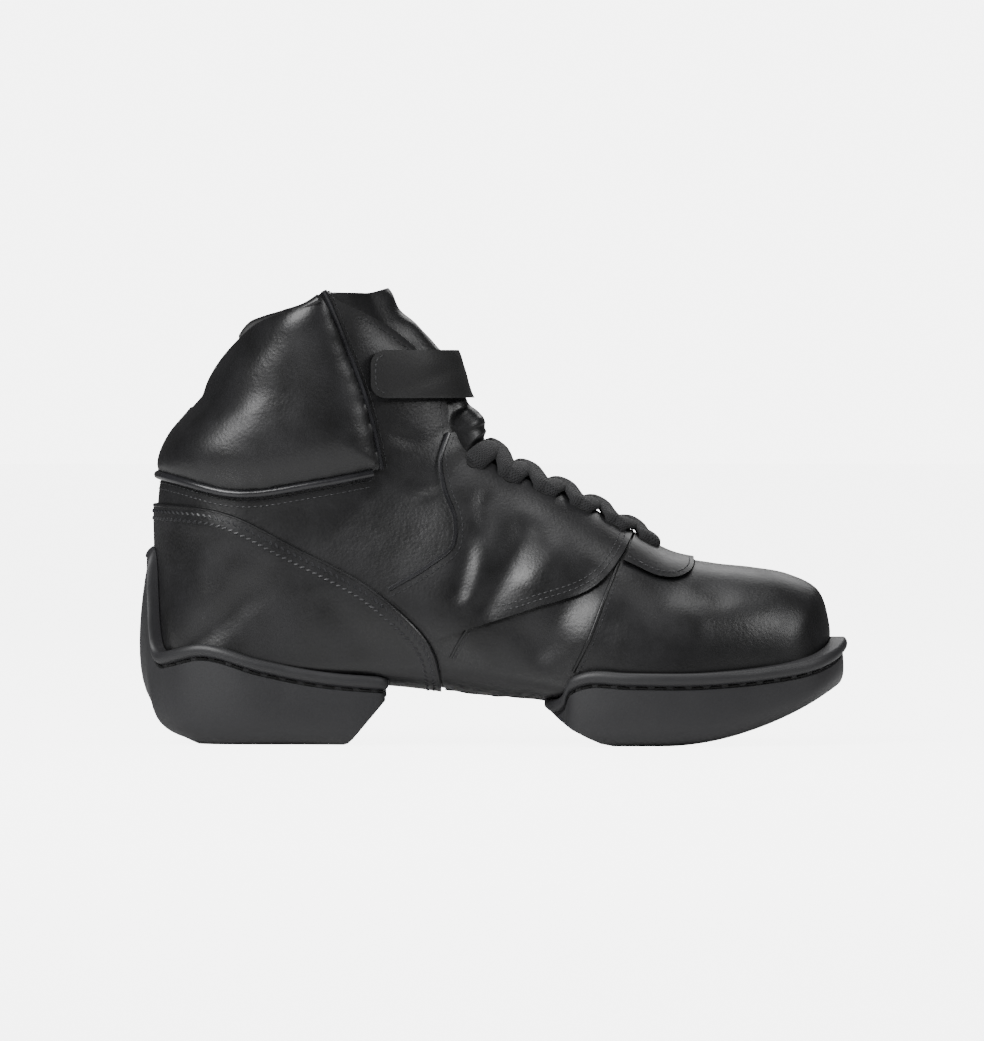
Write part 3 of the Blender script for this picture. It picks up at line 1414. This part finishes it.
base_form = form("base", 0.0)
BASE = tree_of(base_form)
push(base_form)
DRAPED = tree_of(base_form)
bpy.data.objects.remove(base_form)

make_upper()

counter = make_counter()
counter_tree = tree_of(counter)
eyestays = {-1: make_eyestay("lace_panel_outer", -1), 1: make_eyestay("lace_panel_inner", 1)}
stay_trees = {side: tree_of(piece) for side, piece in eyestays.items()}
bib = make_throat_bib()
bib_tree = tree_of(bib)
pad = make_collar_pad()
strap = make_ankle_strap()
strap_tree = tree_of(strap)

SIDES = (-1, 1)
edge_line = smooth_line(COUNTER_EDGE)
seam_line = smooth_line(PAD_SEAM)
front_line = smooth_line(PAD_FRONT[:-1])
rear_line = smooth_line(EYESTAY_REAR)
foot_line = smooth_line(EYESTAY_FOOT)[3 * LINE_STEPS + 5:]
bib_line = smooth_line(BIB_EDGE)
top_line = smooth_line(TOPLINE)
vamp_line = smooth_points(mm((186, 70.0), (181, 58), (174.5, 41), (168.5, 28.5)), 8)
tack_line = smooth_points(mm((129.4, 47.2), (125.4, 40.6), (121.6, 33.5)), 6)
HEEL_PART = 4 * LINE_STEPS   # the counter's edge goes round the heel up to here,
WAIST_PART = slice(HEEL_PART - 1, 6 * LINE_STEPS)    # and then down the waist


def along_counter(line, tree, lift=0.0):
    """A line along the counter's edge: round the heel, and down each side of the waist."""
    behind = [spot for spot in trace_round(line, tree, lift, reach=137, steps=200)
              if spot[0][0] < line[HEEL_PART][0]]
    return [behind] + [trace(line[WAIST_PART], side, tree, lift) for side in SIDES]


def side_cords(*rows):
    """Cords on both sides of the shoe: name, line, lift, width and height of each."""
    return [welt(name, trace(line, side, DRAPED, lift), width, height)
            for side in SIDES for name, line, lift, width, height in rows]


# Piping and folded edges
trims = [welt("edge", run, .0016, .0021)
         for run in along_counter(edge_line, DRAPED, GAP + COUNTER_THICK * .45)]
settle(gather("counter_edge", trims), STIFF, "counter_leather")

low_seam = trace_round(offset_line(seam_line, -.0009), DRAPED, .0014, reach=117, steps=150)
piping = [welt("seam", low_seam, .0034, .0036)]
piping += side_cords(("front", front_line, .0012, .0024, .0034),
                     ("rear", rear_line, .0009, .0020, .0026))
settle(gather("glossy_piping", piping), PIPING, "overlay_leather")

folded = side_cords(("foot", foot_line, .0007, .0013, .0018),
                    ("vamp", vamp_line, -.0001, .0016, .0014),
                    ("tack", tack_line, -.0002, .0014, .0012),
                    ("bib", bib_line[:-4], .0006, .0013, .0017))
settle(gather("folded_edges", folded), SKIN, "overlay_leather")

below_top = [(x, z - .0019) for x, z in top_line[LINE_STEPS:]]
roll = [spot for spot in trace_round(below_top, DRAPED, .0011, axis_x=.058, reach=160, steps=220)
        if spot[0][0] < top_line[-1][0] - .0008]
binding = welt("roll", roll, .0040, .0076, sides=16)
settle(gather("collar_binding", [binding]), PADDED, "pad_leather")

# Stitching
rows = []
for drop, slant in ((-.0022, .55), (-.0050, -.55)):
    for run in along_counter(offset_line(edge_line, drop), counter_tree):
        rows.append(stitches(run, pitch=.0026, length=.0021, thick=.0010, slant=slant))
for drop in (-.0034, -.0058):
    line = trace_round(offset_line(seam_line, drop), DRAPED, 0.0, reach=116, steps=160)
    rows.append(stitches(line, pitch=.0023))
WHOLE = slice(None)
for side in SIDES:
    for line, aside, tree, part in (
            (front_line, -.0024, DRAPED, WHOLE),
            (rear_line, .0026, stay_trees[side], WHOLE),
            (foot_line, .0022, stay_trees[side], WHOLE),
            (foot_line, .0042, stay_trees[side], WHOLE),
            (vamp_line, .0020, DRAPED, WHOLE),
            (tack_line, .0016, DRAPED, WHOLE),
            (bib_line, .0018, bib_tree, WHOLE),
            (smooth_line(FACING), -.0026, DRAPED, slice(14, None)),
            (smooth_points(strap_outline(), 2), .0020, strap_tree, slice(3, -2))):
        rows.append(stitches(trace(offset_line(line, aside)[part], side, tree)))
settle(sew("panel_stitching", rows), THREADS, "overlay_leather")

for piece, material, slot, node in (
        (counter, STIFF, "counter_leather", "counter"),
        (eyestays[-1], SKIN, "overlay_leather", "eyestay_lateral"),
        (eyestays[1], SKIN, "overlay_leather", "eyestay_medial"),
        (bib, SKIN, "overlay_leather", "throat_bib"),
        (pad, PADDED, "pad_leather", "collar_pad"),
        (make_tongue(), PADDED, "tongue_leather", "tongue"),
        (make_insole(), LINING, "insole_cloth", "insole"),
        (strap, STRAP, "strap_leather", "ankle_strap"),
        (make_lace(), LACE, "lace_cord", "lace")):
    settle(piece, material, slot, node)
settle(make_holes(), SLOT, "overlay_leather")

# Sole units
for name, rim, centre, stop, towards, bed, cup, slant, node in (
        ("heel_unit", HEEL_RIM, HEEL_SOLE_CENTRE, HEEL_SOLE_FRONT, 1, HEEL_BED,
         GAP + COUNTER_THICK + GAP, HEEL_SLANT, "outsole_heel"),
        ("forefoot_unit", FOREFOOT_RIM, FOREFOOT_CENTRE, FOREFOOT_REAR, -1, BALL_BED,
         GAP, TOE_SLANT, "outsole_forefoot")):
    unit, tread, groove = sole_unit(name, rim, centre * LENGTH, stop * LENGTH, towards, bed, cup,
                                    slant)
    settle(unit, RUBBER, "sole_rubber", node)
    tread.name = name + "_studs"
    settle(tread, RUBBER, "sole_rubber")
    seam = stitches(groove, pitch=.0072, length=.0050, thick=.0011)
    settle(sew(name + "_groove_stitching", [seam]), SLOT, "sole_rubber")


def trace_under(points, tree, lift=0.0):
    """Points of the shoe's underside laid on a piece from below: places and normals."""
    hits = [tree.ray_cast(Vector((x, y, UNDER_ALL)), Vector((0, 0, 1))) for x, y in points]
    return [(np.array(hit) + np.array(normal) * lift, np.array(normal))
            for hit, normal, _, _ in hits if hit is not None]


# Under the arch: a piped seam, two rows of stitches on each side of it, and two across
shank = trace_under([(x, 0) for x in np.linspace(.1195, .158, 40)], DRAPED, .0001)
settle(welt("arch_seam", shank, .0050, .0018, sides=14), PIPING, "upper_leather")
rows = [stitches(trace_under([(x, y) for x in np.linspace(.121, .158, 40)], DRAPED))
        for y in (-.0055, .0055, -.0078, .0078)]
rows += [stitches(trace_under([(x, y) for y in np.linspace(-.026, .026, 50)], counter_tree))
         for x in (.1125, .1150)]
settle(sew("arch_stitching", rows), THREADS, "upper_leather")

# Floor: a white gloss sheet. The white room's own light would wash out black leather,
# so room and floor are brighter to the eye than to the shoe.
ROOM_LIGHT = .08
ROOM_SEEN = 6.0
FLOOR_GLOW = 5.6
bpy.ops.mesh.primitive_circle_add(vertices=96, radius=9, fill_type="NGON", location=(0, 0, -.0002))
floor = bpy.context.object
floor.name = "studio_floor"
gloss, tree, shader, where = new_material("white_gloss_acrylic", "#f4f4f4", .16,
                                          Specular_IOR_Level=.35)
haze = noise(tree, where, 2.0)
shade_range(tree, haze, .14, .20, shader)
seen = add_node(tree, "ShaderNodeLightPath")
glow = add_node(tree, "ShaderNodeMath", {1: FLOOR_GLOW}, {0: (seen, "Is Camera Ray")},
                operation="MULTIPLY")
shader.inputs["Emission Color"].default_value = linear("#ffffff")
tree.links.new(glow.outputs[0], shader.inputs["Emission Strength"])
floor.data.materials.append(gloss)

# Light: a white room, a large soft box above the heel, and weaker ones round the shoe
world = bpy.data.worlds.new("white_room")
bpy.context.scene.world = world
world.use_nodes = True
room = world.node_tree.nodes["Background"]
room.inputs["Color"].default_value = linear("#ffffff")
eye = add_node(world.node_tree, "ShaderNodeLightPath")
level = add_node(world.node_tree, "ShaderNodeMapRange",
                 {"To Min": ROOM_LIGHT, "To Max": ROOM_SEEN},
                 {"Value": (eye, "Is Camera Ray")})
world.node_tree.links.new(level.outputs["Result"], room.inputs["Strength"])


def soft_box(name, place, size, watts):
    lamp = bpy.data.lights.new(name, "AREA")
    lamp.shape = "RECTANGLE"
    lamp.size, lamp.size_y = size
    lamp.energy = watts
    made = bpy.data.objects.new(name, lamp)
    bpy.context.scene.collection.objects.link(made)
    made.location = place
    made.rotation_euler = (Vector((0, 0, .08)) - Vector(place)).to_track_quat("-Z", "Y").to_euler()


soft_box("key_box", (-.75, -.85, .95), (.75, .75), 26)
soft_box("top_box", (.1, .1, 1.5), (1.0, .6), 8)
soft_box("toe_box", (1.0, -.5, .8), (.35, .6), 6)
soft_box("back_box", (.2, 1.2, .8), (.9, .5), 4)

# Camera: level with the shoe on its outer side, through a long lens
PHOTO_WIDTH, PHOTO_HEIGHT = 984, 1041
PHOTO_SCALE = 2589           # pixels per metre
FLOOR_LINE = 742             # pixels below the photograph's top edge
DISTANCE = 4.0
SENSOR = 36.0
camera = bpy.data.objects.new("camera", bpy.data.cameras.new("camera"))
bpy.context.scene.collection.objects.link(camera)
camera.data.sensor_fit = "HORIZONTAL"
camera.data.sensor_width = SENSOR
camera.data.lens = SENSOR * DISTANCE * PHOTO_SCALE / PHOTO_WIDTH
camera.data.clip_end = 50
aim = Vector((0, 0, (FLOOR_LINE - PHOTO_HEIGHT / 2) / PHOTO_SCALE))
rise = math.radians(1.0)
camera.location = aim + Vector((0, -math.cos(rise), math.sin(rise))) * DISTANCE
camera.rotation_euler = (aim - camera.location).to_track_quat("-Z", "Y").to_euler()
camera.data.dof.use_dof = False
bpy.context.scene.camera = camera
